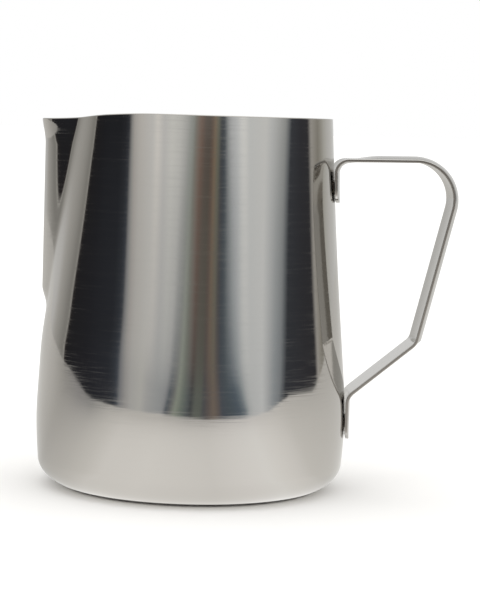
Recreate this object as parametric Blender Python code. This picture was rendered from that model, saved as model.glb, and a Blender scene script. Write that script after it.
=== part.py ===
# Milk frothing pitcher: a deep drawn steel cup with a pressed pouring spout and a bent strap handle.
# Metres, +Z up. The jug stands on Z = 0, the spout points to -X and the handle to +X.
import math

import bmesh
import bpy
import numpy as np

MM = 0.001

# Cup wall, by its outer face. Each inset is how far the wall stands in from the belly's radius
JUG_HEIGHT = 108.0 * MM
BELLY_RADIUS = 45.0 * MM
FOOT_INSET = 0.6 * MM
HIP_INSET = 0.9 * MM
WAIST_INSET = 3.45 * MM
RIM_INSET = 6.3 * MM
BELLY_HEIGHT = 19.5 * MM
HIP_HEIGHT = 35.6 * MM
WAIST_HEIGHT = 64.8 * MM
WALL = 0.75 * MM
CORNER_HEIGHT = 8.4 * MM
CORNER_WIDTH = 11.7 * MM

# The pressing draws the mouth in across the jug
MOUTH_DRAW_IN = 4.28 * MM
DRAW_IN_START = 11.4 * MM
FLANK_PULL = 1.66 * MM
FLANK_START = 46.1 * MM
FLANK_ANGLE = math.radians(20.8)
FLANK_END = math.radians(47.9)
EASE = 0.3

# Spout, a pressed nose that grows out of the front
NOSE_INSET = 0.8 * MM
NOSE_FOOT = 50.5 * MM
NOSE_FOOT_LENGTH = 7.0 * MM
NOSE_ANGLE = math.radians(22.5)
NOSE_NARROWING = 0.77
NOSE_START_RISE = 0.139
NOSE_ROUNDING = math.radians(1.5)
VALLEY_ROUNDING = 0.165
BULGE = 0.45 * MM
BULGE_HEIGHT = 42.0 * MM
BULGE_SPREAD = 9.0 * MM
LIP_FLARE = 1.1 * MM
LIP_LENGTH = 9.5 * MM
LIP_FLARE_LENGTH = 9.0 * MM
LIP_DROP = 2.2 * MM
LIP_DROP_ANGLE = math.radians(70.0)
LIP_BLEND = 12.0 * MM

# Handle, one strap of sheet, by the middle of its thickness at its side edges
STRAP_WIDTH = 17.5 * MM
STRAP_THICKNESS = 0.95 * MM
WELD_GAP = 0.4 * MM
UPPER_PAD_BOTTOM = 84.0 * MM
RUN_HEIGHT = 96.2 * MM
RUN_RISE = 0.6 * MM
HANDLE_REACH = 31.9 * MM
GRIP_LEAN = math.radians(13.4)
ELBOW_HEIGHT = 44.0 * MM
DIAGONAL_SLOPE = math.radians(39.7)
LOWER_PAD_BOTTOM = 15.6 * MM
UPPER_BEND = 3.7 * MM
SHOULDER_BEND = 11.0 * MM
ELBOW_BEND = 3.8 * MM
LOWER_BEND = 4.5 * MM
PAD_CORNER = 3.0 * MM
RUN_CROWN = 0.9 * MM
GRIP_CROWN = 1.6 * MM
CROWN_FADE = 1.8 * MM

# Spot welds between the strap's pads and the wall
WELD_RADIUS = 2.0 * MM
WELD_THICKNESS = 0.2 * MM
WELD_SPACING = 8.4 * MM

# Facets
HALF_NOSE_STEPS = 8
VALLEY_SPREAD = 1.4
FRONT_STEPS = 13
BACK_STEPS = 16
CORNER_STEPS = 6
WIDTH_STEPS = 8
BEND_STEP = math.radians(6.0)
PATH_STEP = 3.0 * MM
WELD_SIDES = 20

STEEL = (0.62, 0.61, 0.60, 1.0)
SATIN_STEEL = (0.68, 0.67, 0.66, 1.0)


def clear_scene():
    for obj in list(bpy.data.objects):
        bpy.data.objects.remove(obj, do_unlink=True)


def metal(name, color, roughness):
    material = bpy.data.materials.new(name)
    material.use_nodes = True
    shader = material.node_tree.nodes["Principled BSDF"]
    shader.inputs["Base Color"].default_value = color
    shader.inputs["Roughness"].default_value = roughness
    shader.inputs["Metallic"].default_value = 1.0
    return material


def smooth_step(t):
    t = np.clip(t, 0.0, 1.0)
    return t * t * (3.0 - 2.0 * t)


def eased_ramp(t):
    # A straight ramp from 0 to 1 whose start is a short curve, so the wall has no crease there
    t = np.maximum(t, 0.0)
    return np.where(t < EASE, t * t / (2.0 * EASE), t - EASE / 2.0) / (1.0 - EASE / 2.0)


def natural_spline(places, values):
    # Smooth curve through the places: the second slopes come from one linear system
    gaps = np.diff(places)
    slopes = np.diff(values) / gaps
    system = np.eye(len(places))
    bends = np.zeros(len(places))
    for i in range(1, len(places) - 1):
        system[i, i - 1 : i + 2] = gaps[i - 1], 2.0 * (gaps[i - 1] + gaps[i]), gaps[i]
        bends[i] = 6.0 * (slopes[i] - slopes[i - 1])
    bends = np.linalg.solve(system, bends)

    def curve(at):
        i = np.clip(np.searchsorted(places, at) - 1, 0, len(places) - 2)
        gap, low, high = gaps[i], at - places[i], places[i + 1] - at
        cubic = (bends[i] * high**3 + bends[i + 1] * low**3) / (6.0 * gap)
        line_low = (values[i] / gap - bends[i] * gap / 6.0) * high
        line_high = (values[i + 1] / gap - bends[i + 1] * gap / 6.0) * low
        return cubic + line_low + line_high

    return curve


side_line = natural_spline(
    np.array([CORNER_HEIGHT, BELLY_HEIGHT, HIP_HEIGHT, WAIST_HEIGHT, JUG_HEIGHT]),
    BELLY_RADIUS - np.array([FOOT_INSET, 0.0, HIP_INSET, WAIST_INSET, RIM_INSET]),
)


def nose_angle(height):
    # How far the nose's side runs from its ridge down to the valley: it narrows towards its foot
    rise = np.clip((height - NOSE_FOOT) / (JUG_HEIGHT - NOSE_FOOT), 0.0, 1.0)
    return NOSE_ANGLE * ((rise + NOSE_START_RISE) / (1.0 + NOSE_START_RISE)) ** NOSE_NARROWING


def wall_radius(turn, height):
    # Outer radius at an angle measured from the spout, either way, and a height
    round_wall = side_line(height)
    across = eased_ramp((height - DRAW_IN_START) / (JUG_HEIGHT - DRAW_IN_START))
    radius = round_wall - MOUTH_DRAW_IN * across * np.sin(turn) ** 2
    away = np.abs(turn)
    # The nose's sides fall straight from its ridge and meet the flank in a softened valley
    rounded = np.hypot(away, NOSE_ROUNDING) - NOSE_ROUNDING
    fall = 1.0 - rounded / nose_angle(height)
    nose_shape = (fall + np.hypot(fall, VALLEY_ROUNDING)) / (1.0 + math.hypot(1.0, VALLEY_ROUNDING))
    nose = (BELLY_RADIUS - NOSE_INSET - round_wall) * smooth_step((height - NOSE_FOOT) / NOSE_FOOT_LENGTH)
    lip_start = JUG_HEIGHT - LIP_LENGTH
    nose += LIP_FLARE * smooth_step((height - lip_start) / LIP_FLARE_LENGTH)
    pull_in = 0.5 - 0.5 * np.cos(math.pi * np.clip(away / FLANK_ANGLE, 0.0, 1.0))
    let_out = np.clip((away - FLANK_ANGLE) / (FLANK_END - FLANK_ANGLE), 0.0, 1.0)
    pull_in = np.where(away < FLANK_ANGLE, pull_in, 0.5 + 0.5 * np.cos(math.pi * let_out))
    flank = FLANK_PULL * eased_ramp((height - FLANK_START) / (JUG_HEIGHT - FLANK_START)) * pull_in
    bulge = BULGE * np.exp(-(((height - BULGE_HEIGHT) / BULGE_SPREAD) ** 2))
    bulge = bulge * np.maximum(np.cos(turn), 0.0) ** 2
    return radius + nose * nose_shape - flank + bulge


def rim_drop(turn, height):
    # The rim dips towards the spout, and the rows just under it follow
    dip = 0.5 + 0.5 * np.cos(math.pi * np.clip(np.abs(turn) / LIP_DROP_ANGLE, 0.0, 1.0))
    return LIP_DROP * dip * np.clip((height - JUG_HEIGHT + LIP_BLEND) / LIP_BLEND, 0.0, 1.0)


def wall_point(turn, level, tilt=0.0):
    # tilt runs from 0 on the wall to a quarter turn where the bottom corner meets the flat base
    level = level - rim_drop(turn, level)
    radius = wall_radius(turn, level) - CORNER_WIDTH * (1.0 - math.cos(tilt))
    height = level - CORNER_HEIGHT * math.sin(tilt)
    return np.stack([-radius * np.cos(turn), -radius * np.sin(turn), height], axis=-1)


def ring_angles(height):
    # The first columns follow the nose's side and its valley, and one column runs up each side of the jug
    quarter = math.pi / 2.0
    spread = VALLEY_SPREAD * float(nose_angle(height))
    nose = np.linspace(0.0, spread, HALF_NOSE_STEPS + 1)
    front = np.linspace(spread, quarter, FRONT_STEPS + 1)
    back = np.linspace(quarter, math.pi, BACK_STEPS + 1)
    half = np.concatenate([nose, front[1:], back[1:]])
    return np.concatenate([half, -half[-2:0:-1]])


def ring_levels():
    lip_start = JUG_HEIGHT - LIP_LENGTH
    spout_start = NOSE_FOOT + NOSE_FOOT_LENGTH
    belly = np.linspace(CORNER_HEIGHT, BELLY_HEIGHT, 4)
    waist = np.linspace(BELLY_HEIGHT, NOSE_FOOT, 5)[1:]
    foot = np.linspace(NOSE_FOOT, spout_start, 4)[1:]
    spout = np.linspace(spout_start, lip_start, 5)[1:]
    lip = np.linspace(lip_start, JUG_HEIGHT, 6)[1:]
    return np.concatenate([belly, waist, foot, spout, lip])


def add_mesh(name, points, faces, material):
    mesh = bpy.data.meshes.new(name)
    mesh.from_pydata([tuple(point) for point in points], [], faces)
    mesh.materials.append(material)
    body = bmesh.new()
    body.from_mesh(mesh)
    bmesh.ops.recalc_face_normals(body, faces=body.faces)
    body.to_mesh(mesh)
    body.free()
    obj = bpy.data.objects.new(name, mesh)
    bpy.context.scene.collection.objects.link(obj)
    mesh.shade_smooth()
    mesh.set_sharp_from_angle(angle=math.radians(40.0))
    return obj


def band_faces(rows, columns, closed):
    # Quads between neighbouring rows of a grid of points, which may close on itself
    last = columns if closed else columns - 1
    return [
        (r * columns + c, r * columns + (c + 1) % columns,
         (r + 1) * columns + (c + 1) % columns, (r + 1) * columns + c)
        for r in range(rows - 1)
        for c in range(last)
    ]


def build_cup():
    tilts = np.linspace(math.pi / 2.0, 0.0, CORNER_STEPS + 1)[:-1]
    rings = [wall_point(ring_angles(CORNER_HEIGHT), CORNER_HEIGHT, tilt) for tilt in tilts]
    rings += [wall_point(ring_angles(level), level) for level in ring_levels()]
    columns = len(rings[0])
    faces = band_faces(len(rings), columns, closed=True)
    faces.append(tuple(range(columns)))
    cup = add_mesh("pitcher_body", np.concatenate(rings), faces, metal("polished_steel", STEEL, 0.12))
    sheet = cup.modifiers.new("sheet_thickness", "SOLIDIFY")
    sheet.thickness = WALL
    sheet.offset = -1.0
    sheet.use_even_offset = True
    sheet.use_quality_normals = True


def wall_front(side, level):
    # Distance of the wall behind the handle, at a distance to one side of the jug's middle plane
    turn = math.pi
    for _ in range(4):
        turn = math.pi - math.asin(side / float(wall_radius(turn, level)))
    return float(wall_radius(turn, level)) * math.cos(math.pi - turn), math.pi - turn


def pad_distance(side, level):
    # Where the middle of the strap's thickness lies when the strap wraps the wall
    reach, turn = wall_front(side, level)
    return reach + (WELD_GAP + STRAP_THICKNESS / 2.0) / math.cos(turn)


def handle_corners():
    # Corner points of the handle's side line in X and Z, with the bend radius at each
    edge = STRAP_WIDTH / 2.0
    upper = pad_distance(edge, (UPPER_PAD_BOTTOM + RUN_HEIGHT) / 2.0)
    lower = pad_distance(edge, BELLY_HEIGHT)
    shoulder = BELLY_RADIUS + HANDLE_REACH
    shoulder_height = RUN_HEIGHT + RUN_RISE
    # The grip leans back from the shoulder's corner down to the elbow
    elbow = shoulder - (shoulder_height - ELBOW_HEIGHT) * math.tan(GRIP_LEAN)
    lower_height = ELBOW_HEIGHT - (elbow - lower) * math.tan(DIAGONAL_SLOPE)
    return [
        ((pad_distance(edge, UPPER_PAD_BOTTOM), UPPER_PAD_BOTTOM), 0.0),
        ((upper, RUN_HEIGHT), UPPER_BEND),
        ((shoulder, shoulder_height), SHOULDER_BEND),
        ((elbow, ELBOW_HEIGHT), ELBOW_BEND),
        ((lower, lower_height), LOWER_BEND),
        ((lower, LOWER_PAD_BOTTOM), 0.0),
    ]


def rounded_path(corners):
    # Points along straights and arcs, and the lengths along the path where each bend starts and ends
    points, marks, length = [np.array(corners[0][0])], [], 0.0

    def walk(to):
        nonlocal length
        start = points[-1]
        span = np.linalg.norm(to - start)
        count = max(1, math.ceil(span / PATH_STEP))
        for i in range(1, count + 1):
            points.append(start + (to - start) * i / count)
        length += span

    for (before, _), (corner, radius), (after, _) in zip(corners, corners[1:], corners[2:]):
        corner = np.array(corner)
        toward, away = corner - np.array(before), np.array(after) - corner
        toward, away = toward / np.linalg.norm(toward), away / np.linalg.norm(away)
        bend = math.acos(float(np.dot(toward, away)))
        reach = radius * math.tan(bend / 2.0)
        walk(corner - toward * reach)
        marks.append(length)
        inward = (away - toward) / np.linalg.norm(away - toward)
        centre = corner + inward * radius / math.cos(bend / 2.0)
        steps = max(2, math.ceil(bend / BEND_STEP))
        first = points[-1] - centre
        side = corner + away * reach - centre
        for i in range(1, steps + 1):
            part = i / steps
            arm = (math.sin((1 - part) * bend) * first + math.sin(part * bend) * side) / math.sin(bend)
            points.append(centre + arm)
        length += radius * bend
        marks.append(length)
    walk(np.array(corners[-1][0]))
    return np.array(points), marks


def path_frames(points):
    # Length so far and the outward direction, to the left of the way along the path
    steps = np.diff(points, axis=0)
    lengths = np.concatenate([[0.0], np.cumsum(np.linalg.norm(steps, axis=1))])
    ways = steps / np.linalg.norm(steps, axis=1, keepdims=True)
    ways = np.concatenate([ways[:1], ways[:-1] + ways[1:], ways[-1:]])
    ways /= np.linalg.norm(ways, axis=1, keepdims=True)
    return lengths, np.stack([-ways[:, 1], ways[:, 0]], axis=1)


def strap_crown(lengths, marks):
    # How far the strap's middle stands out from its side edges, by length along the path
    edge = STRAP_WIDTH / 2.0
    upper_wrap = pad_distance(0.0, UPPER_PAD_BOTTOM) - pad_distance(edge, UPPER_PAD_BOTTOM)
    lower_wrap = pad_distance(0.0, BELLY_HEIGHT) - pad_distance(edge, BELLY_HEIGHT)
    run_middle = (marks[1] + marks[2]) / 2.0
    flat = marks[4] + CROWN_FADE
    places = [marks[0], run_middle, marks[2], marks[3], marks[4], flat, marks[6], marks[7]]
    crowns = [-upper_wrap, RUN_CROWN, RUN_CROWN, GRIP_CROWN, GRIP_CROWN, 0.0, 0.0, lower_wrap]
    return np.interp(lengths, places, crowns)


def build_strap():
    points, marks = rounded_path(handle_corners())
    lengths, outward = path_frames(points)
    crown = strap_crown(lengths, marks)
    from_end = np.minimum(lengths, lengths[-1] - lengths)
    cut = np.maximum(PAD_CORNER - from_end, 0.0)
    half_width = STRAP_WIDTH / 2.0 - PAD_CORNER + np.sqrt(PAD_CORNER**2 - cut**2)
    across = np.linspace(-1.0, 1.0, WIDTH_STEPS + 1)
    loops = []
    for point, normal, rise, half in zip(points, outward, crown, half_width):
        side = across * half
        middle = rise * (1.0 - (side / (STRAP_WIDTH / 2.0)) ** 2)
        for face, order in ((0.5, 1), (-0.5, -1)):
            lift = (middle + face * STRAP_THICKNESS)[::order]
            loops.append(np.stack([point[0] + normal[0] * lift, side[::order], point[1] + normal[1] * lift], 1))
    section = 2 * len(across)
    faces = band_faces(len(points), section, closed=True)
    last = (len(points) - 1) * section
    for start in (0, last):
        for c in range(WIDTH_STEPS):
            faces.append((start + c, start + c + 1, start + section - 2 - c, start + section - 1 - c))
    add_mesh("handle_strap", np.concatenate(loops), faces, metal("satin_steel", SATIN_STEEL, 0.3))


def build_weld(name, side, level, material):
    # A flat nugget half way between the wall and the strap, square to the wall there
    reach, turn = wall_front(abs(side), level)
    turn = math.copysign(turn, side)
    out = np.array([math.cos(turn), math.sin(turn), 0.0])
    flat = np.array([-math.sin(turn), math.cos(turn), 0.0])
    centre = np.array([reach, side, level]) + out * WELD_GAP / 2.0
    rounds = np.arange(WELD_SIDES) * 2.0 * math.pi / WELD_SIDES
    ring = WELD_RADIUS * (np.outer(np.cos(rounds), flat) + np.outer(np.sin(rounds), [0.0, 0.0, 1.0]))
    points = np.concatenate([centre + ring + out * WELD_THICKNESS * half for half in (-0.5, 0.5)])
    faces = band_faces(2, WELD_SIDES, closed=True)
    faces += [tuple(range(WELD_SIDES)), tuple(range(WELD_SIDES, 2 * WELD_SIDES))]
    add_mesh(name, points, faces, material)


def build_welds():
    material = metal("weld_steel", SATIN_STEEL, 0.5)
    levels = {
        "upper": (UPPER_PAD_BOTTOM + RUN_HEIGHT - UPPER_BEND) / 2.0,
        "lower": BELLY_HEIGHT,
    }
    for place, level in levels.items():
        build_weld(f"{place}_weld_left", -WELD_SPACING / 2.0, level, material)
        build_weld(f"{place}_weld_right", WELD_SPACING / 2.0, level, material)


clear_scene()
build_cup()
build_strap()
build_welds()
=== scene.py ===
import math

import bmesh
import bpy
import numpy as np
from mathutils import Matrix, Vector


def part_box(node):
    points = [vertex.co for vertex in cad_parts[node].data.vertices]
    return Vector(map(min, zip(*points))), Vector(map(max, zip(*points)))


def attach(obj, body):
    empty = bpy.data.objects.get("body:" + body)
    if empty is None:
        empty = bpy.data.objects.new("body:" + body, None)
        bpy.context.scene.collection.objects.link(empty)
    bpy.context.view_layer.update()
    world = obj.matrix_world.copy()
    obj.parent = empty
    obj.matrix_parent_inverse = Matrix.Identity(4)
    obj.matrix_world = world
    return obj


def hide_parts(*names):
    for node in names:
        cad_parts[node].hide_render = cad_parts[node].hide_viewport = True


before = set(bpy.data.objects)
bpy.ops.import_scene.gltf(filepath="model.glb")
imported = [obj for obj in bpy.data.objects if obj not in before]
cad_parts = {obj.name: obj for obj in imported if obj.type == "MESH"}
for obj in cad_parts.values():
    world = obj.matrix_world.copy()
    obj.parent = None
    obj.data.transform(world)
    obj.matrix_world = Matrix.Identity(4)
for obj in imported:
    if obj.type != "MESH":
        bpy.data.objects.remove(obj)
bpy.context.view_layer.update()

mm = 0.001
strapLow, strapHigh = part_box("handle_strap")
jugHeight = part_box("pitcher_body")[1].z
print("frame loaded")


def toLinear(hexColor):
    # sRGB hex to the linear colour that shaders take
    parts = [int(hexColor[i : i + 2], 16) / 255 for i in (1, 3, 5)]
    linear = [c / 12.92 if c <= 0.04045 else ((c + 0.055) / 1.055) ** 2.4 for c in parts]
    return (*linear, 1.0)


def addNode(tree, kind, settings=None, inputs=None):
    # One node with its settings; inputs are values, or sockets to link from, by name or place
    node = tree.nodes.new(kind)
    for key, value in (settings or {}).items():
        setattr(node, key, value)
    for key, value in (inputs or {}).items():
        if isinstance(value, bpy.types.NodeSocket):
            tree.links.new(value, node.inputs[key])
        else:
            node.inputs[key].default_value = value
    return node


def newMaterial(name):
    material = bpy.data.materials.new(name)
    material.use_nodes = True
    material.node_tree.nodes.clear()
    return material, material.node_tree


def newObject(name, mesh):
    obj = bpy.data.objects.new(name, mesh)
    bpy.context.scene.collection.objects.link(obj)
    return obj


def meshFrom(name, points, faces):
    mesh = bpy.data.meshes.new(name)
    mesh.from_pydata([tuple(p) for p in points], [], faces)
    mesh.shade_smooth()
    return mesh


def bandFaces(rows, columns, closed):
    last = columns if closed else columns - 1
    return [
        (r * columns + c, r * columns + (c + 1) % columns,
         (r + 1) * columns + (c + 1) % columns, (r + 1) * columns + c)
        for r in range(rows - 1) for c in range(last)
    ]


def plainMesh(obj):
    # The evaluated result as a plain mesh, with the modifiers gone
    evaluated = obj.evaluated_get(bpy.context.evaluated_depsgraph_get())
    mesh = bpy.data.meshes.new_from_object(evaluated)
    obj.modifiers.clear()
    obj.data = mesh
    return mesh


# Materials

polishedLook = {
    "steel": "#BDBAB5",
    "roughness": 0.035,
    "lineRoughness": 0.15,
    "lineSpacing": 0.3 * mm,  # finer on the real one, drawn as coarse as it needs to show
    "lineLength": 16 * mm,
    "lineDepth": 0.001 * mm,
}


def polishedSteel():
    # Stainless steel, mirror polished on a wheel with the jug turning: clear reflections with
    # faint lines round the jug that smear them a little up and down
    look = polishedLook
    material, tree = newMaterial("stainlessSteelMirrorPolished")
    place = addNode(tree, "ShaderNodeTexCoord")
    stretch = addNode(tree, "ShaderNodeMapping", {}, {
        "Vector": place.outputs["Object"],
        "Scale": (1 / look["lineLength"], 1 / look["lineLength"], 1 / look["lineSpacing"])})
    lines = addNode(tree, "ShaderNodeTexNoise", {}, {
        "Vector": stretch.outputs[0], "Scale": 1.0, "Detail": 3.0, "Roughness": 0.6})
    bump = addNode(tree, "ShaderNodeBump", {}, {
        "Height": lines.outputs["Fac"], "Distance": look["lineDepth"], "Strength": 1.0})
    smear = addNode(tree, "ShaderNodeMapRange", {}, {
        "Value": lines.outputs["Fac"], "From Min": 0.45, "From Max": 0.7,
        "To Min": look["roughness"], "To Max": look["lineRoughness"]})
    shader = addNode(tree, "ShaderNodeBsdfPrincipled", {}, {
        "Base Color": toLinear(look["steel"]), "Metallic": 1.0,
        "Roughness": smear.outputs[0], "Normal": bump.outputs[0]})
    addNode(tree, "ShaderNodeOutputMaterial", {}, {"Surface": shader.outputs[0]})
    return material


insideLook = {"steel": "#C9C5BF", "roughness": 0.34, "grain": 0.5 * mm, "grainDepth": 0.01 * mm}


def insideSteel():
    # Stainless steel as drawn and scoured: a satin inside that blurs what it reflects
    look = insideLook
    material, tree = newMaterial("stainlessSteelScoured")
    place = addNode(tree, "ShaderNodeTexCoord")
    grain = addNode(tree, "ShaderNodeTexNoise", {}, {
        "Vector": place.outputs["Object"], "Scale": 1 / look["grain"], "Detail": 2.0})
    bump = addNode(tree, "ShaderNodeBump", {}, {
        "Height": grain.outputs["Fac"], "Distance": look["grainDepth"], "Strength": 0.6})
    shader = addNode(tree, "ShaderNodeBsdfPrincipled", {}, {
        "Base Color": toLinear(look["steel"]), "Metallic": 1.0,
        "Roughness": look["roughness"], "Normal": bump.outputs[0]})
    addNode(tree, "ShaderNodeOutputMaterial", {}, {"Surface": shader.outputs[0]})
    return material


strapLook = {"steel": "#C4C2BE", "roughness": 0.13, "grain": 0.3 * mm, "grainLength": 9 * mm,
             "grainDepth": 0.006 * mm, "edgeSteel": "#8E8983", "edgeRoughness": 0.3}


def strapSteel():
    # Stainless strip, belt brushed along its length before bending: soft pale sheen with fine
    # grain, and slit edges that stay duller and darker
    look = strapLook
    material, tree = newMaterial("stainlessSteelBeltBrushed")
    along = addNode(tree, "ShaderNodeUVMap", {"uv_map": "alongStrap"})
    stretch = addNode(tree, "ShaderNodeMapping", {}, {
        "Vector": along.outputs[0],
        "Scale": (1 / look["grainLength"], 1 / look["grain"], 1.0)})
    grain = addNode(tree, "ShaderNodeTexNoise", {}, {
        "Vector": stretch.outputs[0], "Scale": 1.0, "Detail": 3.0})
    bump = addNode(tree, "ShaderNodeBump", {}, {
        "Height": grain.outputs["Fac"], "Distance": look["grainDepth"], "Strength": 1.0})
    facing = addNode(tree, "ShaderNodeSeparateXYZ", {}, {
        0: addNode(tree, "ShaderNodeNewGeometry").outputs["Normal"]})
    sideways = addNode(tree, "ShaderNodeMath", {"operation": "ABSOLUTE"}, {0: facing.outputs["Y"]})
    slit = addNode(tree, "ShaderNodeMapRange", {}, {
        "Value": sideways.outputs[0], "From Min": 0.9, "From Max": 0.99})
    steel = addNode(tree, "ShaderNodeMix", {"data_type": "RGBA"}, {
        0: slit.outputs[0], 6: toLinear(look["steel"]), 7: toLinear(look["edgeSteel"])})
    dullness = addNode(tree, "ShaderNodeMapRange", {}, {
        "Value": slit.outputs[0], "To Min": look["roughness"], "To Max": look["edgeRoughness"]})
    shader = addNode(tree, "ShaderNodeBsdfPrincipled", {}, {
        "Base Color": steel.outputs[2], "Metallic": 1.0,
        "Roughness": dullness.outputs[0], "Normal": bump.outputs[0]})
    addNode(tree, "ShaderNodeOutputMaterial", {}, {"Surface": shader.outputs[0]})
    return material


weldLook = {"steel": "#A7A29B", "heatTint": "#8C7A66", "roughness": 0.5, "patch": 0.8 * mm}


def weldSteel():
    # Fused steel of a spot weld: dull, with a brown heat tint in patches
    look = weldLook
    material, tree = newMaterial("stainlessSteelSpotWelded")
    place = addNode(tree, "ShaderNodeTexCoord")
    patches = addNode(tree, "ShaderNodeTexNoise", {}, {
        "Vector": place.outputs["Object"], "Scale": 1 / look["patch"], "Detail": 2.0})
    tint = addNode(tree, "ShaderNodeMix", {"data_type": "RGBA"}, {
        0: patches.outputs["Fac"], 6: toLinear(look["steel"]), 7: toLinear(look["heatTint"])})
    shader = addNode(tree, "ShaderNodeBsdfPrincipled", {}, {
        "Base Color": tint.outputs[2], "Metallic": 1.0, "Roughness": look["roughness"]})
    addNode(tree, "ShaderNodeOutputMaterial", {}, {"Surface": shader.outputs[0]})
    return material


# Cup: a round wall turned from its side line, then pressed by the node tree below

cup = {
    "sideHeights": [8.4 * mm, 19.5 * mm, 35.6 * mm, 64.8 * mm, jugHeight],
    "sideRadii": [44.4 * mm, 45.0 * mm, 44.1 * mm, 41.55 * mm, 38.7 * mm],
    "cornerHeight": 8.4 * mm,
    "cornerWidth": 11.7 * mm,
    "wall": 0.75 * mm,
    "rimRounding": 0.33 * mm,
    "noseColumns": 44,
    "valleySpread": 1.5,
    "frontColumns": 50,
    "backColumns": 58,
    "rows": {"corner": 14, "belly": 26, "foot": 18, "spout": 38, "lip": 30},
    "baseRings": [0.75, 0.5, 0.25, 0.06],
    "innerFacing": 0.2,  # how far a face turns to the middle, or up, to count as the inside
    "floorFacing": 0.3,
}

# What the press does to the round wall, each size an input of the tree
pressing = {
    "Height": jugHeight,
    "Mouth Draw In": 4.28 * mm,
    "Draw In Start": 11.4 * mm,
    "Flank Pull": 1.66 * mm,
    "Flank Start": 46.1 * mm,
    "Flank Angle": math.radians(20.8),
    "Flank End": math.radians(47.9),
    "Ease": 0.3,
    "Nose Reach": 44.2 * mm,
    "Nose Foot": 50.5 * mm,
    "Nose Foot Length": 7.0 * mm,
    "Nose Angle": math.radians(22.5),
    "Nose Narrowing": 0.77,
    "Nose Start Rise": 0.139,
    "Nose Rounding": math.radians(1.5),
    "Valley Rounding": 0.165,
    "Bulge": 0.45 * mm,
    "Bulge Height": 42.0 * mm,
    "Bulge Spread": 9.0 * mm,
    "Lip Flare": 1.1 * mm,
    "Lip Length": 9.5 * mm,
    "Lip Flare Length": 9.0 * mm,
    "Lip Drop": 2.2 * mm,
    "Lip Drop Angle": math.radians(70.0),
    "Lip Blend": 12.0 * mm,
}

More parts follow.
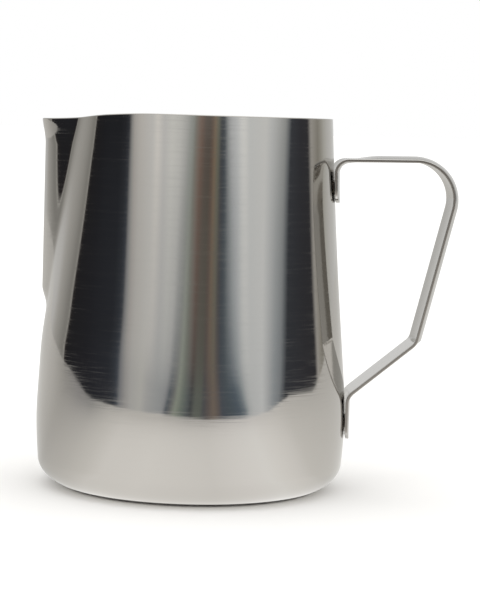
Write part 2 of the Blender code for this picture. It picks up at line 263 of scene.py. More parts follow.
# The rule of the pressed wall, one step a line: name, operation, what it works on
pressSteps = [
    ("side", "ABSOLUTE", "y"),
    ("front", "MULTIPLY", "x", -1.0),
    ("away", "ARCTAN2", "side", "front"),
    ("frontSquare", "MULTIPLY", "front", "front"),
    ("sideSquare", "MULTIPLY", "side", "side"),
    ("square", "ADD", "frontSquare", "sideSquare"),
    ("round", "SQRT", "square"),
    # the rim dips towards the spout
    ("dipPart", "DIVIDE", "away", "Lip Drop Angle"),
    ("dipClipped", "MINIMUM", "dipPart", 1.0),
    ("dipTurn", "MULTIPLY", "dipClipped", math.pi),
    ("dipWave", "COSINE", "dipTurn"),
    ("dip", "MULTIPLY_ADD", "dipWave", 0.5, 0.5),
    ("blendStart", "SUBTRACT", "Height", "Lip Blend"),
    ("overBlend", "SUBTRACT", "z", "blendStart"),
    ("blendUp", "DIVIDE", "overBlend", "Lip Blend"),
    ("blend", "MAXIMUM", "blendUp", 0.0),
    ("dipBlend", "MULTIPLY", "dip", "blend"),
    ("drop", "MULTIPLY", "dipBlend", "Lip Drop"),
    ("level", "SUBTRACT", "z", "drop"),
    # the mouth is drawn in across the jug
    ("halfEase", "DIVIDE", "Ease", 2.0),
    ("easeLeft", "SUBTRACT", 1.0, "halfEase"),
    ("twiceEase", "MULTIPLY", "Ease", 2.0),
    ("drawOver", "SUBTRACT", "level", "Draw In Start"),
    ("drawLength", "SUBTRACT", "Height", "Draw In Start"),
    ("drawPart", "DIVIDE", "drawOver", "drawLength"),
    ("drawUp", "MAXIMUM", "drawPart", 0.0),
    ("drawBend", "MINIMUM", "drawUp", "Ease"),
    ("drawBendSquare", "MULTIPLY", "drawBend", "drawBend"),
    ("drawCurve", "DIVIDE", "drawBendSquare", "twiceEase"),
    ("drawLine", "SUBTRACT", "drawUp", "drawBend"),
    ("drawSum", "ADD", "drawCurve", "drawLine"),
    ("drawRamp", "DIVIDE", "drawSum", "easeLeft"),
    ("across", "DIVIDE", "sideSquare", "square"),
    ("drawShare", "MULTIPLY", "drawRamp", "across"),
    ("draw", "MULTIPLY", "drawShare", "Mouth Draw In"),
    # the flanks beside the nose are pulled in
    ("flankOver", "SUBTRACT", "level", "Flank Start"),
    ("flankLength", "SUBTRACT", "Height", "Flank Start"),
    ("flankPart", "DIVIDE", "flankOver", "flankLength"),
    ("flankUp", "MAXIMUM", "flankPart", 0.0),
    ("flankBend", "MINIMUM", "flankUp", "Ease"),
    ("flankBendSquare", "MULTIPLY", "flankBend", "flankBend"),
    ("flankCurve", "DIVIDE", "flankBendSquare", "twiceEase"),
    ("flankLine", "SUBTRACT", "flankUp", "flankBend"),
    ("flankSum", "ADD", "flankCurve", "flankLine"),
    ("flankRamp", "DIVIDE", "flankSum", "easeLeft"),
    ("inPart", "DIVIDE", "away", "Flank Angle"),
    ("inClipped", "MINIMUM", "inPart", 1.0),
    ("inTurn", "MULTIPLY", "inClipped", math.pi),
    ("inWave", "COSINE", "inTurn"),
    ("outOver", "SUBTRACT", "away", "Flank Angle"),
    ("outLength", "SUBTRACT", "Flank End", "Flank Angle"),
    ("outPart", "DIVIDE", "outOver", "outLength"),
    ("outUp", "MAXIMUM", "outPart", 0.0),
    ("outClipped", "MINIMUM", "outUp", 1.0),
    ("outTurn", "MULTIPLY", "outClipped", math.pi),
    ("outWave", "COSINE", "outTurn"),
    ("waves", "SUBTRACT", "outWave", "inWave"),
    ("flankShape", "DIVIDE", "waves", 2.0),
    ("flankShare", "MULTIPLY", "flankShape", "flankRamp"),
    ("flank", "MULTIPLY", "flankShare", "Flank Pull"),
    # the nose stands out to its reach, over its foot, with a flare at the lip
    ("footEnd", "ADD", "Nose Foot", "Nose Foot Length"),
    ("footStep", "STEP", "level", "Nose Foot", "footEnd"),
    ("lipStart", "SUBTRACT", "Height", "Lip Length"),
    ("lipEnd", "ADD", "lipStart", "Lip Flare Length"),
    ("lipStep", "STEP", "level", "lipStart", "lipEnd"),
    ("missing", "SUBTRACT", "Nose Reach", "round"),
    ("noseOut", "MULTIPLY", "missing", "footStep"),
    ("noseFlare", "MULTIPLY", "Lip Flare", "lipStep"),
    ("noseTop", "ADD", "noseOut", "noseFlare"),
    ("noseOver", "SUBTRACT", "level", "Nose Foot"),
    ("noseLength", "SUBTRACT", "Height", "Nose Foot"),
    ("nosePart", "DIVIDE", "noseOver", "noseLength"),
    ("noseUp", "MAXIMUM", "nosePart", 0.0),
    ("riseSum", "ADD", "noseUp", "Nose Start Rise"),
    ("riseWhole", "ADD", 1.0, "Nose Start Rise"),
    ("riseShare", "DIVIDE", "riseSum", "riseWhole"),
    ("narrowing", "POWER", "riseShare", "Nose Narrowing"),
    ("noseAngle", "MULTIPLY", "narrowing", "Nose Angle"),
    ("awaySquare", "MULTIPLY", "away", "away"),
    ("roundingSquare", "MULTIPLY", "Nose Rounding", "Nose Rounding"),
    ("ridgeSquare", "ADD", "awaySquare", "roundingSquare"),
    ("ridge", "SQRT", "ridgeSquare"),
    ("rounded", "SUBTRACT", "ridge", "Nose Rounding"),
    ("nosePlace", "DIVIDE", "rounded", "noseAngle"),
    ("noseFall", "SUBTRACT", 1.0, "nosePlace"),
    ("fallSquare", "MULTIPLY", "noseFall", "noseFall"),
    ("valleySquare", "MULTIPLY", "Valley Rounding", "Valley Rounding"),
    ("fallSoftSquare", "ADD", "fallSquare", "valleySquare"),
    ("fallSoft", "SQRT", "fallSoftSquare"),
    ("fallSum", "ADD", "noseFall", "fallSoft"),
    ("ridgeSoftSquare", "ADD", 1.0, "valleySquare"),
    ("ridgeSoft", "SQRT", "ridgeSoftSquare"),
    ("ridgeSum", "ADD", 1.0, "ridgeSoft"),
    ("noseShape", "DIVIDE", "fallSum", "ridgeSum"),
    ("nose", "MULTIPLY", "noseTop", "noseShape"),
    # the metal under the nose's foot bulges slightly
    ("bulgeOver", "SUBTRACT", "level", "Bulge Height"),
    ("bulgePart", "DIVIDE", "bulgeOver", "Bulge Spread"),
    ("bulgeSquare", "MULTIPLY", "bulgePart", "bulgePart"),
    ("bulgeMinus", "MULTIPLY", "bulgeSquare", -1.0),
    ("bulgeFall", "EXPONENT", "bulgeMinus"),
    ("toFront", "DIVIDE", "front", "round"),
    ("frontOnly", "MAXIMUM", "toFront", 0.0),
    ("frontShare", "MULTIPLY", "frontOnly", "frontOnly"),
    ("bulgeShare", "MULTIPLY", "bulgeFall", "frontShare"),
    ("bulge", "MULTIPLY", "bulgeShare", "Bulge"),
    # all of it moves the wall along its own radius
    ("outward", "ADD", "nose", "bulge"),
    ("inward", "ADD", "draw", "flank"),
    ("shift", "SUBTRACT", "outward", "inward"),
    ("shiftPart", "DIVIDE", "shift", "round"),
    ("grow", "ADD", "shiftPart", 1.0),
    ("newX", "MULTIPLY", "x", "grow"),
    ("newY", "MULTIPLY", "y", "grow"),
]


def pressTree(material):
    tree = bpy.data.node_groups.new("pressSpout", "GeometryNodeTree")
    tree.interface.new_socket("Geometry", in_out="INPUT", socket_type="NodeSocketGeometry")
    for name, size in pressing.items():
        socket = tree.interface.new_socket(name, in_out="INPUT", socket_type="NodeSocketFloat")
        socket.default_value = size
    tree.interface.new_socket("Geometry", in_out="OUTPUT", socket_type="NodeSocketGeometry")
    start = addNode(tree, "NodeGroupInput")
    place = addNode(tree, "ShaderNodeSeparateXYZ", {}, {
        0: addNode(tree, "GeometryNodeInputPosition").outputs[0]})
    values = {"x": place.outputs[0], "y": place.outputs[1], "z": place.outputs[2]}
    values.update({name: start.outputs[name] for name in pressing})
    for name, operation, *terms in pressSteps:
        inputs = {i: values.get(term, term) for i, term in enumerate(terms)}
        if operation == "STEP":
            node = addNode(tree, "ShaderNodeMapRange", {"interpolation_type": "SMOOTHSTEP"}, inputs)
        else:
            node = addNode(tree, "ShaderNodeMath", {"operation": operation}, inputs)
        values[name] = node.outputs[0]
    pressed = addNode(tree, "ShaderNodeCombineXYZ", {}, {
        0: values["newX"], 1: values["newY"], 2: values["level"]})
    moved = addNode(tree, "GeometryNodeSetPosition", {}, {
        "Geometry": start.outputs["Geometry"], "Position": pressed.outputs[0]})
    real = addNode(tree, "GeometryNodeRealizeInstances", {}, {0: moved.outputs[0]})
    painted = addNode(tree, "GeometryNodeSetMaterial", {}, {
        0: real.outputs[0], "Material": material})
    addNode(tree, "NodeGroupOutput", {}, {0: painted.outputs[0]})
    return tree


def naturalSpline(places, values):
    # Smooth curve through the places: its second slopes come from one linear system
    places, values = np.array(places), np.array(values)
    gaps = np.diff(places)
    slopes = np.diff(values) / gaps
    system, bends = np.eye(len(places)), np.zeros(len(places))
    for i in range(1, len(places) - 1):
        system[i, i - 1 : i + 2] = gaps[i - 1], 2 * (gaps[i - 1] + gaps[i]), gaps[i]
        bends[i] = 6 * (slopes[i] - slopes[i - 1])
    bends = np.linalg.solve(system, bends)

    def curve(at):
        i = np.clip(np.searchsorted(places, at) - 1, 0, len(places) - 2)
        gap, low, high = gaps[i], at - places[i], places[i + 1] - at
        cubic = (bends[i] * high**3 + bends[i + 1] * low**3) / (6 * gap)
        lower = (values[i] / gap - bends[i] * gap / 6) * high
        upper = (values[i + 1] / gap - bends[i + 1] * gap / 6) * low
        return cubic + lower + upper

    return curve


sideLine = naturalSpline(cup["sideHeights"], cup["sideRadii"])


def ringTurns(level):
    # The first columns of a ring follow the nose's side and its valley
    rise = max(0.0, (level - pressing["Nose Foot"]) / (jugHeight - pressing["Nose Foot"]))
    share = (rise + pressing["Nose Start Rise"]) / (1 + pressing["Nose Start Rise"])
    spread = cup["valleySpread"] * pressing["Nose Angle"] * share ** pressing["Nose Narrowing"]
    nose = np.linspace(0, spread, cup["noseColumns"] + 1)
    front = np.linspace(spread, math.pi / 2, cup["frontColumns"] + 1)[1:]
    back = np.linspace(math.pi / 2, math.pi, cup["backColumns"] + 1)[1:]
    half = np.concatenate([nose, front, back])
    return np.concatenate([half, -half[-2:0:-1]])


def roundWall():
    # Rings of the unpressed cup from the flat base's edge up to the rim
    rows = cup["rows"]
    tilts = np.linspace(math.pi / 2, 0, rows["corner"] + 1)[:-1]
    radii = [cup["sideRadii"][0] - cup["cornerWidth"] * (1 - math.cos(tilt)) for tilt in tilts]
    heights = [cup["cornerHeight"] * (1 - math.sin(tilt)) for tilt in tilts]
    foot, footEnd = pressing["Nose Foot"], pressing["Nose Foot"] + pressing["Nose Foot Length"]
    lip = jugHeight - pressing["Lip Length"]
    levels = np.concatenate([
        np.linspace(cup["cornerHeight"], foot, rows["belly"] + 1)[:-1],
        np.linspace(foot, footEnd, rows["foot"] + 1)[:-1],
        np.linspace(footEnd, lip, rows["spout"] + 1)[:-1],
        np.linspace(lip, jugHeight, rows["lip"] + 1)])
    radii = np.concatenate([radii, sideLine(levels)])
    heights = np.concatenate([heights, levels])
    turns = np.stack([ringTurns(height) for height in heights])
    columns = turns.shape[1]
    points = np.stack([
        -radii[:, None] * np.cos(turns), -radii[:, None] * np.sin(turns),
        np.repeat(heights[:, None], columns, axis=1)], axis=-1).reshape(-1, 3)
    faces = bandFaces(len(radii), columns, closed=True)
    # rings close in over the flat base, down to a small middle face
    inner = cup["baseRings"]
    first = len(points)
    rings = [points[:columns] * (share, share, 1.0) for share in inner]
    points = np.concatenate([points, *rings])
    order = [0] + [first + i * columns for i in range(len(inner))]
    for outer, nearer in zip(order, order[1:]):
        for c in range(columns):
            d = (c + 1) % columns
            faces.append((outer + c, nearer + c, nearer + d, outer + d))
    faces.append(tuple(range(order[-1] + columns - 1, order[-1] - 1, -1)))
    return points, faces


def buildCup(outside, inside):
    obj = newObject("steelCup", meshFrom("steelCup", *roundWall()))
    body = bmesh.new()
    body.from_mesh(obj.data)
    bmesh.ops.recalc_face_normals(body, faces=body.faces)
    body.to_mesh(obj.data)
    body.free()
    press = obj.modifiers.new("pressSpout", "NODES")
    press.node_group = pressTree(outside)
    sheet = obj.modifiers.new("sheet", "SOLIDIFY")
    sheet.thickness, sheet.offset = cup["wall"], -1.0
    sheet.use_even_offset = sheet.use_quality_normals = True
    rim = obj.modifiers.new("rim", "BEVEL")
    rim.width, rim.segments = cup["rimRounding"], 3
    rim.limit_method, rim.angle_limit = "ANGLE", math.radians(60)
    mesh = plainMesh(obj)
    mesh.shade_smooth()
    mesh.materials.clear()
    mesh.materials.append(outside)
    mesh.materials.append(inside)
    # faces that look at the jug's own middle are the inside
    count = len(mesh.polygons)
    normals, centers = np.empty(count * 3), np.empty(count * 3)
    mesh.polygons.foreach_get("normal", normals)
    mesh.polygons.foreach_get("center", centers)
    normals, centers = normals.reshape(-1, 3), centers.reshape(-1, 3)
    distances = np.linalg.norm(centers[:, :2] + 1e-9, axis=1)
    radial = (normals[:, :2] * centers[:, :2]).sum(1) / distances
    floor = (normals[:, 2] > cup["floorFacing"]) & (centers[:, 2] < jugHeight / 2)
    within = (radial < -cup["innerFacing"]) | floor
    mesh.polygons.foreach_set("material_index", within.astype(np.int32))
    print("cup:", len(mesh.polygons), "faces")
    return obj


# Strap handle: a flat section with rounded edges carried along a bent path

strap = {
    "width": strapHigh.y - strapLow.y,
    "thickness": 0.95 * mm,
    "edgeRounding": 0.22 * mm,
    "gap": 0.4 * mm,
    "upperPadBottom": 84.0 * mm,
    "runHeight": 96.2 * mm,
    "runRise": 0.6 * mm,
    "shoulderReach": 76.9 * mm,
    "gripLean": math.radians(13.4),
    "elbowHeight": 44.0 * mm,
    "diagonalSlope": math.radians(39.7),
    "lowerPadBottom": 15.6 * mm,
    "bends": [3.7 * mm, 11.0 * mm, 3.8 * mm, 4.5 * mm],
    "padCorner": 3.0 * mm,
    "runCrown": 0.9 * mm,
    "gripCrown": 1.6 * mm,
    "crownFade": 1.8 * mm,
    "acrossSteps": 26,
    "edgeSteps": 5,
    "straightStep": 0.9 * mm,
    "bendStep": math.radians(2.5),
    "weldDimple": 0.1 * mm,
}

weld = {"radius": 2.0 * mm, "thickness": 0.2 * mm, "spacing": 8.4 * mm, "sides": 32,
        "dimpleSpread": 1.2}


def easedRamp(t):
    ease = pressing["Ease"]
    bend = np.minimum(np.maximum(t, 0), ease)
    return (bend**2 / (2 * ease) + np.maximum(t, 0) - bend) / (1 - ease / 2)


def wallBehind(side, level):
    # Where the wall's outer face lies behind the handle, and the angle it faces there
    height = pressing["Height"]
    start = pressing["Draw In Start"]
    across = easedRamp((level - start) / (height - start))
    turn = 0.0
    for _ in range(4):
        drawIn = pressing["Mouth Draw In"] * float(across) * math.sin(turn) ** 2
        radius = float(sideLine(level)) - drawIn
        turn = math.asin(side / radius)
    return radius * math.cos(turn), turn


def padDistance(side, level):
    reach, turn = wallBehind(side, level)
    return reach + (strap["gap"] + strap["thickness"] / 2) / math.cos(turn)


def handleCorners():
    edge = strap["width"] / 2
    lowLevel = cup["sideHeights"][1]
    upper = padDistance(edge, (strap["upperPadBottom"] + strap["runHeight"]) / 2)
    lower = padDistance(edge, lowLevel)
    shoulder = strap["runHeight"] + strap["runRise"]
    elbow = strap["shoulderReach"] - (shoulder - strap["elbowHeight"]) * math.tan(strap["gripLean"])
    lowerBend = strap["elbowHeight"] - (elbow - lower) * math.tan(strap["diagonalSlope"])
    return [
        (padDistance(edge, strap["upperPadBottom"]), strap["upperPadBottom"]),
        (upper, strap["runHeight"]),
        (strap["shoulderReach"], shoulder),
        (elbow, strap["elbowHeight"]),
        (lower, lowerBend),
        (lower, strap["lowerPadBottom"]),
    ]


def bentPath(corners, bends):
    # Points along straights and arcs, and the lengths at which each bend starts and ends
    corners = [np.array(corner) for corner in corners]
    points, marks, length = [corners[0]], [], 0.0

    def straightTo(target):
        start = points[-1]
        span = np.linalg.norm(target - start)
        steps = max(1, math.ceil(span / strap["straightStep"]))
        points.extend(start + (target - start) * i / steps for i in range(1, steps + 1))
        return span

    for before, corner, after, radius in zip(corners, corners[1:], corners[2:], bends):
        come = (corner - before) / np.linalg.norm(corner - before)
        leave = (after - corner) / np.linalg.norm(after - corner)
        angle = math.acos(float(come @ leave))
        reach = radius * math.tan(angle / 2)
        length += straightTo(corner - come * reach)
        marks.append(length)
        inward = (leave - come) / np.linalg.norm(leave - come)
        center = corner + inward * radius / math.cos(angle / 2)
        first, last = points[-1] - center, corner + leave * reach - center
        steps = math.ceil(angle / strap["bendStep"])
        for i in range(1, steps + 1):
            part = i / steps
            arm = math.sin((1 - part) * angle) * first + math.sin(part * angle) * last
            points.append(center + arm / math.sin(angle))
        length += radius * angle
        marks.append(length)
    straightTo(corners[-1])
    return np.array(points), marks


def strapSection(half):
    # Places round one section as across, and up or down from the sheet's middle
    rounding, up = strap["edgeRounding"], strap["thickness"] / 2
    flat = np.linspace(-(half - rounding), half - rounding, strap["acrossSteps"] + 1)
    turns = np.linspace(0, math.pi / 2, strap["edgeSteps"] + 1)[1:]
    corner = np.stack([
        half - rounding + rounding * np.sin(turns), up - rounding + rounding * np.cos(turns)], 1)
    right = np.concatenate([corner, (corner * (1, -1))[::-1]])
    top = np.stack([flat, np.full(len(flat), up)], 1)
    bottom = (top * (1, -1))[::-1]
    return np.concatenate([top, right, bottom, (right * (-1, 1))[::-1]])


def smoothBetween(at, places, values):
    # Like a straight interpolation, with each stretch eased at both ends
    i = np.clip(np.searchsorted(places, at) - 1, 0, len(places) - 2)
    places, values = np.array(places), np.array(values)
    t = np.clip((at - places[i]) / (places[i + 1] - places[i]), 0, 1)
    return values[i] + (values[i + 1] - values[i]) * t * t * (3 - 2 * t)


def weldPlaces():
    upper = (strap["upperPadBottom"] + strap["runHeight"] - strap["bends"][0]) / 2
    return [(side, level) for level in (upper, cup["sideHeights"][1])
            for side in (-weld["spacing"] / 2, weld["spacing"] / 2)]


def buildStrap(material):
    points, marks = bentPath(handleCorners(), strap["bends"])
    steps = np.diff(points, axis=0)
    spans = np.linalg.norm(steps, axis=1)
    lengths = np.concatenate([[0.0], np.cumsum(spans)])
    ways = steps / spans[:, None]
    ways = np.concatenate([ways[:1], ways[:-1] + ways[1:], ways[-1:]])
    ways /= np.linalg.norm(ways, axis=1, keepdims=True)
    outward = np.stack([-ways[:, 1], ways[:, 0]], 1)
    edge = strap["width"] / 2
    wraps = [padDistance(0, level) - padDistance(edge, level)
             for level in (strap["upperPadBottom"], cup["sideHeights"][1])]
    flat = marks[4] + strap["crownFade"]
    run, grip = strap["runCrown"], strap["gripCrown"]
    places = [marks[0], (marks[1] + marks[2]) / 2, marks[2], marks[3], marks[4], flat, *marks[6:8]]
    crowns = [-wraps[0], run, run, grip, grip, 0, 0, wraps[1]]
    crown = smoothBetween(lengths, places, crowns)
    fromEnd = np.minimum(lengths, lengths[-1] - lengths)
    cut = np.maximum(strap["padCorner"] - fromEnd, 0)
    halves = edge - strap["padCorner"] + np.sqrt(strap["padCorner"] ** 2 - cut**2)
    dimpleRadius = weld["radius"] * weld["dimpleSpread"]
    loops, alongAcross = [], []
    for point, normal, rise, half, length in zip(points, outward, crown, halves, lengths):
        section = strapSection(half)
        lift = section[:, 1] + rise * (1 - (section[:, 0] / edge) ** 2)
        for side, level in weldPlaces():
            # a shallow round mark in the pad's outer face where the electrode pressed
            distance = np.hypot(section[:, 0] - side, point[1] - level) / dimpleRadius
            outer = -1 if length < marks[0] + 1e-6 else 1
            facing = (section[:, 1] * outer > 0) & (distance < 1)
            dimple = strap["weldDimple"] * (1 - np.minimum(distance, 1) ** 2) ** 2
            lift = lift - facing * outer * dimple
        loops.append(np.stack([
            point[0] + normal[0] * lift, section[:, 0], point[1] + normal[1] * lift], 1))
        alongAcross.append(np.stack([np.full(len(section), length), section[:, 0]], 1))
    count = len(loops[0])
    faces = bandFaces(len(loops), count, closed=True)
    last = (len(loops) - 1) * count
    faces += [tuple(range(count))[::-1], tuple(range(last, last + count))]
    mesh = meshFrom("strapHandle", np.concatenate(loops), faces)
    layer = mesh.uv_layers.new(name="alongStrap")
    alongAcross = np.concatenate(alongAcross)
    corners = np.empty(len(mesh.loops), np.int32)
    mesh.loops.foreach_get("vertex_index", corners)
    layer.data.foreach_set("uv", alongAcross[corners].astype(np.float32).ravel())
    body = bmesh.new()
    body.from_mesh(mesh)
    bmesh.ops.recalc_face_normals(body, faces=body.faces)
    body.to_mesh(mesh)
    body.free()
    mesh.set_sharp_from_angle(angle=math.radians(50))
    mesh.materials.append(material)
    print("strap:", len(mesh.polygons), "faces")
    return newObject("strapHandle", mesh)


# Spot welds: one nugget, placed again at each point by the node tree

def weldTree(material):
    tree = bpy.data.node_groups.new("spotWelds", "GeometryNodeTree")
    tree.interface.new_socket("Geometry", in_out="INPUT", socket_type="NodeSocketGeometry")
    for name, size in (("Radius", weld["radius"]), ("Thickness", weld["thickness"])):
        socket = tree.interface.new_socket(name, in_out="INPUT", socket_type="NodeSocketFloat")
        socket.default_value = size
    tree.interface.new_socket("Geometry", in_out="OUTPUT", socket_type="NodeSocketGeometry")
    start = addNode(tree, "NodeGroupInput")
    nugget = addNode(tree, "GeometryNodeMeshCylinder", {}, {
        "Vertices": weld["sides"], "Radius": start.outputs["Radius"],
        "Depth": start.outputs["Thickness"]})
    facing = addNode(tree, "GeometryNodeInputNamedAttribute", {"data_type": "FLOAT_VECTOR"}, {
        "Name": "facing"})
    turn = addNode(tree, "FunctionNodeAlignRotationToVector", {"axis": "Z"}, {
        "Vector": facing.outputs[0]})
    placed = addNode(tree, "GeometryNodeInstanceOnPoints", {}, {
        "Points": start.outputs["Geometry"], "Instance": nugget.outputs[0],
        "Rotation": turn.outputs[0]})
    real = addNode(tree, "GeometryNodeRealizeInstances", {}, {0: placed.outputs[0]})
    painted = addNode(tree, "GeometryNodeSetMaterial", {}, {
        0: real.outputs[0], "Material": material})
    addNode(tree, "NodeGroupOutput", {}, {0: painted.outputs[0]})
    return tree


def buildWelds(material):
    centers, facings = [], []
    for side, level in weldPlaces():
        reach, turn = wallBehind(abs(side), level)
        out = Vector((math.cos(turn), math.copysign(math.sin(turn), side), 0))
        centers.append(Vector((reach, side, level)) + out * strap["gap"] / 2)
        facings.append(out)
    mesh = meshFrom("spotWelds", centers, [])
    attribute = mesh.attributes.new("facing", "FLOAT_VECTOR", "POINT")
    attribute.data.foreach_set("vector", [value for facing in facings for value in facing])
    obj = newObject("spotWelds", mesh)
    obj.modifiers.new("spotWelds", "NODES").node_group = weldTree(material)
    mesh = plainMesh(obj)
    mesh.materials.clear()
    mesh.materials.append(material)
    mesh.shade_flat()
    print("welds:", len(mesh.polygons), "faces")
    return obj


# Studio: a pale floor, soft light from all round, and a drum of glowing cards and floor sheets that
# only the polish shows, a painted reflection

studio = {
    "floor": "#F3F2F0",
    "floorSize": 30.0,
    "drumRadius": 1.0,
    "drumHeight": 1.1,
    "lowLevel": 0.14,
    "highLevel": 0.30,
    "topLevel": 0.55,
    "topTone": "#BDBDBB",
    "columns": 480,
    "rows": 40,
    "sheetStart": 0.037,
    "sheetLift": 0.0002,
    "contactEnd": 0.058,
    # painted contact shadow on the glowing floor sheets
    "contactShade": (0.97, 0.78),  # by the jug's foot, in front and from the sides back
    "shadeTurns": (40, 85),
    "curlPower": 8,
    "rowPower": 1.5,
    "leanLimits": (-0.5, 1.2),
    "sheetRows": 24,
    "nearEnd": 0.09,
    "farStart": 0.75,
    "cardStrength": 1.22,
    "skyStrength": 1.35,
    "background": 1.0,
}

# Glowing sheets round the jug that only the polish shows: a painted reflection of the floor, with
# painted shadow by the jug's foot. For each: angle from the front, tone near the jug and far from
# it, and how high the sheet curls up at the drum
sheets = [
    (-180, "#D6D5D2", "#C2C1BE", 0.030),
    (-135, "#CCCBC8", "#D0CFCC", 0.034),
    (-122, "#C8C7C4", "#C8C7C4", 0.028),
    (-110, "#C4C3C0", "#B4B3B0", 0.014),
    (-104, "#C6C5C2", "#ACABA9", 0.016),
    (-88, "#D0CFCC", "#A4A3A4", 0.026),
    (-76, "#D8D7D4", "#A8A8A8", 0.026),
    (-60, "#E6E5E2", "#D0CFCC", 0.037),
    (-48, "#F4F3F1", "#D8D7D4", 0.042),
    (-22, "#F8F7F5", "#D8D7D4", 0.051),
    (0, "#F4F3F1", "#D0CFCD", 0.040),
    (11, "#F2F1EF", "#D4D3D1", 0.031),
    (28, "#FAF9F8", "#E2E1E0", 0.030),
    (43, "#FFFFFE", "#EAE9E8", 0.030),
    (56, "#F8F7F5", "#E8E7E5", 0.036),
    (66, "#F0EFED", "#E0DFDC", 0.056),
    (75, "#E6E5E2", "#D8D7D4", 0.062),
    (84, "#E2E1DE", "#D6D5D2", 0.050),
    (99, "#DEDDDA", "#D2D1CE", 0.028),
    (120, "#DAD9D6", "#CCCBC8", 0.030),
    (150, "#D4D3D0", "#C4C3C0", 0.030),
    (180, "#D6D5D2", "#C2C1BE", 0.030),
]

# Cards round the drum: angle from the front low down and high up, and the tone at each
cards = [
    (-180, -180, "#D2D2D1", "#C8C8C8"),
    (-135, -135, "#C8C8C7", "#C6C6C4"),
    (-127, -127, "#B4B3B0", "#BEBDBA"),
    (-117, -112, "#A3A29F", "#A5A4A0"),
    (-110, -104, "#908F8C", "#93928E"),
    (-107.4, -101.6, "#93928F", "#989793"),
    (-106.6, -100.8, "#B4B3B0", "#B8B7B4"),
    (-105.8, -100.0, "#908E8B", "#8E8C89"),
    (-105.0, -99.2, "#302D2E", "#2E2B2B"),
    (-101, -95, "#27272A", "#272628"),
    (-84, -84, "#292A2F", "#222326"),
    (-62, -62, "#32353C", "#222326"),
    (-57, -57, "#3E434B", "#27272B"),
    (-54.5, -53.5, "#4C525C", "#34363B"),
    (-52, -51, "#8A8D92", "#A8A8A7"),
    (-48, -49, "#AFAEAF", "#C6C4C1"),
    (-44, -44, "#BFC0C0", "#D6D4D1"),
    (-36, -34, "#C9CAC8", "#DFE0E0"),
    (-31, -30, "#B8BABC", "#F4F3F0"),
    (-25, -25, "#AEB2B5", "#DCDDDE"),
    (-21, -19, "#A8ACB0", "#E8EAE8"),
    (-18, -13, "#A0A3A8", "#DCDEDD"),
    (-15.3, -9, "#646C74", "#C6C8C8"),
    (-12.5, -6, "#787A7D", "#ACB1AF"),
    (-9.5, -4, "#9BA398", "#A0A5A2"),
    (-6, -2.5, "#7C8680", "#8F8F89"),
    (-2.5, 0, "#666D6F", "#8C7E76"),
    (0, 2, "#4E5255", "#806C62"),
    (3, 5, "#6C716C", "#675D57"),
    (6.5, 8, "#6A706A", "#605852"),
    (9, 10, "#5B5D61", "#706056"),
    (12, 12, "#6B6463", "#8A7A68"),
    (15.5, 14.5, "#80756C", "#74776C"),
    (18.5, 16.5, "#6F6866", "#4C5157"),
    (21, 18.5, "#565C66", "#4E555C"),
    (25, 19.8, "#566068", "#5E656C"),
    (30.5, 21.5, "#5E6A76", "#A4A9AC"),
    (34, 24, "#7C8790", "#CACED2"),
    (36.5, 28, "#A4ACB2", "#DADEE2"),
    (39, 31.5, "#C4C9CC", "#F2F5F6"),
    (42, 34, "#D2D6D9", "#F4F6F6"),
    (45, 37.5, "#D4D8DB", "#E0E4E6"),
    (52, 52, "#DADEE1", "#E6E8E8"),
    (57, 58, "#C0C4C8", "#DADEE0"),
    (62, 65, "#A2A9AF", "#CED0D0"),
    (68, 73, "#8C9298", "#B4B6B5"),
    (71, 77, "#686D73", "#888C90"),
    (74, 80, "#3C3F45", "#4A4D53"),
    (90, 88, "#37383D", "#3E3E44"),
    (100.5, 94, "#36363A", "#444448"),
    (102.7, 96.5, "#8C8A88", "#807E7C"),
    (104.5, 99, "#AEACA8", "#B2B0AD"),
    (110, 108, "#9E9B94", "#ACAAA6"),
    (114, 114, "#8F8C84", "#AAA8A4"),
    (120, 120, "#A3A19A", "#BAB8B4"),
    (127, 127, "#BBBBB6", "#C0C0BC"),
    (136, 136, "#C6C6C4", "#C8C8C6"),
    (180, 180, "#D2D2D1", "#C8C8C8"),
]


def cardTone(turns, levels):
    # The tone of every column of the drum, at the height given for each; card edges slant
    low, high, top = studio["lowLevel"], studio["highLevel"], studio["topLevel"]
    tones = np.array([[toLinear(card[2])[:3], toLinear(card[3])[:3]] for card in cards])
    over = toLinear(studio["topTone"])[:3]
    row = []
    for turn, level in zip(turns, levels):
        rise = (level - low) / (high - low)
        lean, share = np.clip(rise, *studio["leanLimits"]), np.clip(rise, 0, 1)
        fade = np.clip((level - high) / (top - high), 0, 1)
        angles = [card[0] * (1 - lean) + card[1] * lean for card in cards]
        mixed = tones[:, 0] * (1 - share) + tones[:, 1] * share
        row.append([
            np.interp(turn, angles, mixed[:, c]) * (1 - fade) + over[c] * fade for c in range(3)])
    return np.array(row)


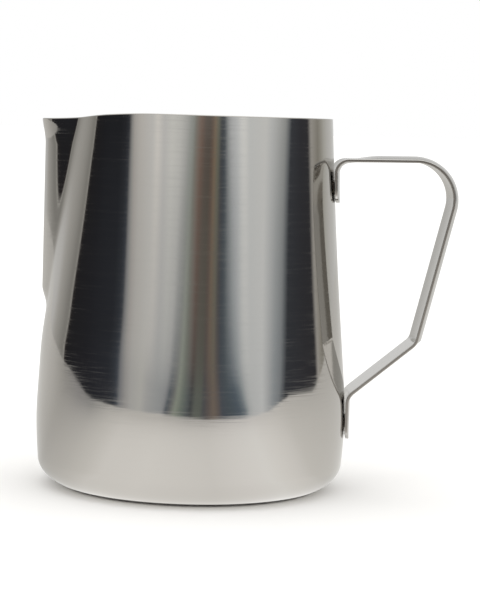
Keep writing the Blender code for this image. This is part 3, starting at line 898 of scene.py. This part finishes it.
def buildDrum():
    turns = np.linspace(-180, 180, studio["columns"] + 1)
    ways = np.stack([np.sin(np.radians(turns)), -np.cos(np.radians(turns))], 1)
    angles = [sheet[0] for sheet in sheets]
    nearTones, farTones = (np.array([toLinear(sheet[k])[:3] for sheet in sheets]) for k in (1, 2))
    near, far = (
        np.stack([np.interp(turns, angles, tones[:, c]) for c in range(3)], 1)
        for tones in (nearTones, farTones))
    curl = np.interp(turns, angles, [sheet[3] for sheet in sheets])
    start, contactEnd = studio["sheetStart"], studio["contactEnd"]
    nearEnd, farStart = studio["nearEnd"], studio["farStart"]
    # painted contact shadow: the sheet tones darken towards the jug's foot, most at the sides and
    # back
    contact = np.interp(np.abs(turns), studio["shadeTurns"], studio["contactShade"])
    points, tones = [], []
    for part in np.linspace(0, 1, studio["sheetRows"] + 1):
        reach = start * (studio["drumRadius"] / start) ** part
        level = curl * part ** studio["curlPower"] + studio["sheetLift"]
        points.append(np.column_stack([reach * ways, level]))
        clear = np.clip((reach - start) / (contactEnd - start), 0, 1)
        shade = clear + (1 - clear) * contact[:, None]
        away = np.clip((reach - nearEnd) / (farStart - nearEnd), 0, 1)
        tones.append(shade * (near + (far - near) * away))
    for part in np.linspace(0, 1, studio["rows"] + 1) ** studio["rowPower"]:
        level = curl + (studio["drumHeight"] - curl) * part
        points.append(np.column_stack([studio["drumRadius"] * ways, level]))
        tones.append(cardTone(turns, level))
    points, tones = np.concatenate(points), np.concatenate(tones)
    faces = bandFaces(len(points) // len(turns), len(turns), closed=False)
    mesh = meshFrom("studioDrum", points, faces)
    colors = mesh.color_attributes.new("tone", "FLOAT_COLOR", "POINT")
    colors.data.foreach_set("color", np.column_stack([tones, np.ones(len(tones))]).ravel())
    # the drum glows with its painted tones and is seen only in the polish: a painted reflection of
    # cards and floor
    material, tree = newMaterial("cardAndSheetGlow")
    tone = addNode(tree, "ShaderNodeVertexColor", {"layer_name": "tone"})
    glow = addNode(tree, "ShaderNodeEmission", {}, {
        "Color": tone.outputs[0], "Strength": studio["cardStrength"]})
    addNode(tree, "ShaderNodeOutputMaterial", {}, {"Surface": glow.outputs[0]})
    mesh.materials.append(material)
    drum = newObject("studioDrum", mesh)
    drum.visible_camera = drum.visible_shadow = drum.visible_diffuse = False
    return drum


def buildFloor():
    half = studio["floorSize"]
    corners = [(-half, -half, 0), (half, -half, 0), (half, half, 0), (-half, half, 0)]
    mesh = meshFrom("studioFloor", corners, [(0, 1, 2, 3)])
    material, tree = newMaterial("paperMatt")
    paper = addNode(tree, "ShaderNodeBsdfDiffuse", {}, {"Color": toLinear(studio["floor"])})
    addNode(tree, "ShaderNodeOutputMaterial", {}, {"Surface": paper.outputs[0]})
    mesh.materials.append(material)
    return newObject("studioFloor", mesh)


def buildWorld():
    world = bpy.data.worlds.new("softStudioLight")
    world.use_nodes = True
    tree = world.node_tree
    tree.nodes.clear()
    sky, back = (
        addNode(tree, "ShaderNodeBackground", {}, {"Color": (1, 1, 1, 1), "Strength": studio[name]})
        for name in ("skyStrength", "background"))
    path = addNode(tree, "ShaderNodeLightPath")
    both = addNode(tree, "ShaderNodeMixShader", {}, {
        0: path.outputs["Is Camera Ray"], 1: sky.outputs[0], 2: back.outputs[0]})
    addNode(tree, "ShaderNodeOutputWorld", {}, {"Surface": both.outputs[0]})
    bpy.context.scene.world = world


view = {
    "place": (0.0, -0.60912, 0.10638),
    "down": 0.0847,
    "right": 0.0220,
    "tilt": 0.0301,
    "lens": 125.8,
    "sensor": 36.0,
    "clip": (0.01, 20.0),
}


def buildCamera():
    data = bpy.data.cameras.new("camera")
    data.lens, data.sensor_width = view["lens"], view["sensor"]
    data.clip_start, data.clip_end = view["clip"]
    camera = newObject("camera", data)
    down, right, tilt = view["down"], view["right"], view["tilt"]
    level = math.cos(down)
    ahead = Vector((math.sin(right) * level, math.cos(right) * level, -math.sin(down)))
    side = Vector((math.cos(right), -math.sin(right), 0.0))
    up = side.cross(ahead)
    across = side * math.cos(tilt) + up * math.sin(tilt)
    upward = up * math.cos(tilt) - side * math.sin(tilt)
    turn = Matrix((across, upward, -ahead)).transposed().to_4x4()
    camera.matrix_world = Matrix.Translation(view["place"]) @ turn
    bpy.context.scene.camera = camera


steelCup = buildCup(polishedSteel(), insideSteel())
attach(steelCup, "root")
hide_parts("pitcher_body")

strapHandle = buildStrap(strapSteel())
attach(strapHandle, "root")
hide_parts("handle_strap")

spotWelds = buildWelds(weldSteel())
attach(spotWelds, "root")
for node in ("upper_weld_left", "upper_weld_right", "lower_weld_left", "lower_weld_right"):
    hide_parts(node)

buildDrum()
buildFloor()
buildWorld()
buildCamera()
bpy.context.scene.view_settings.view_transform = "Standard"
print("studio ready")
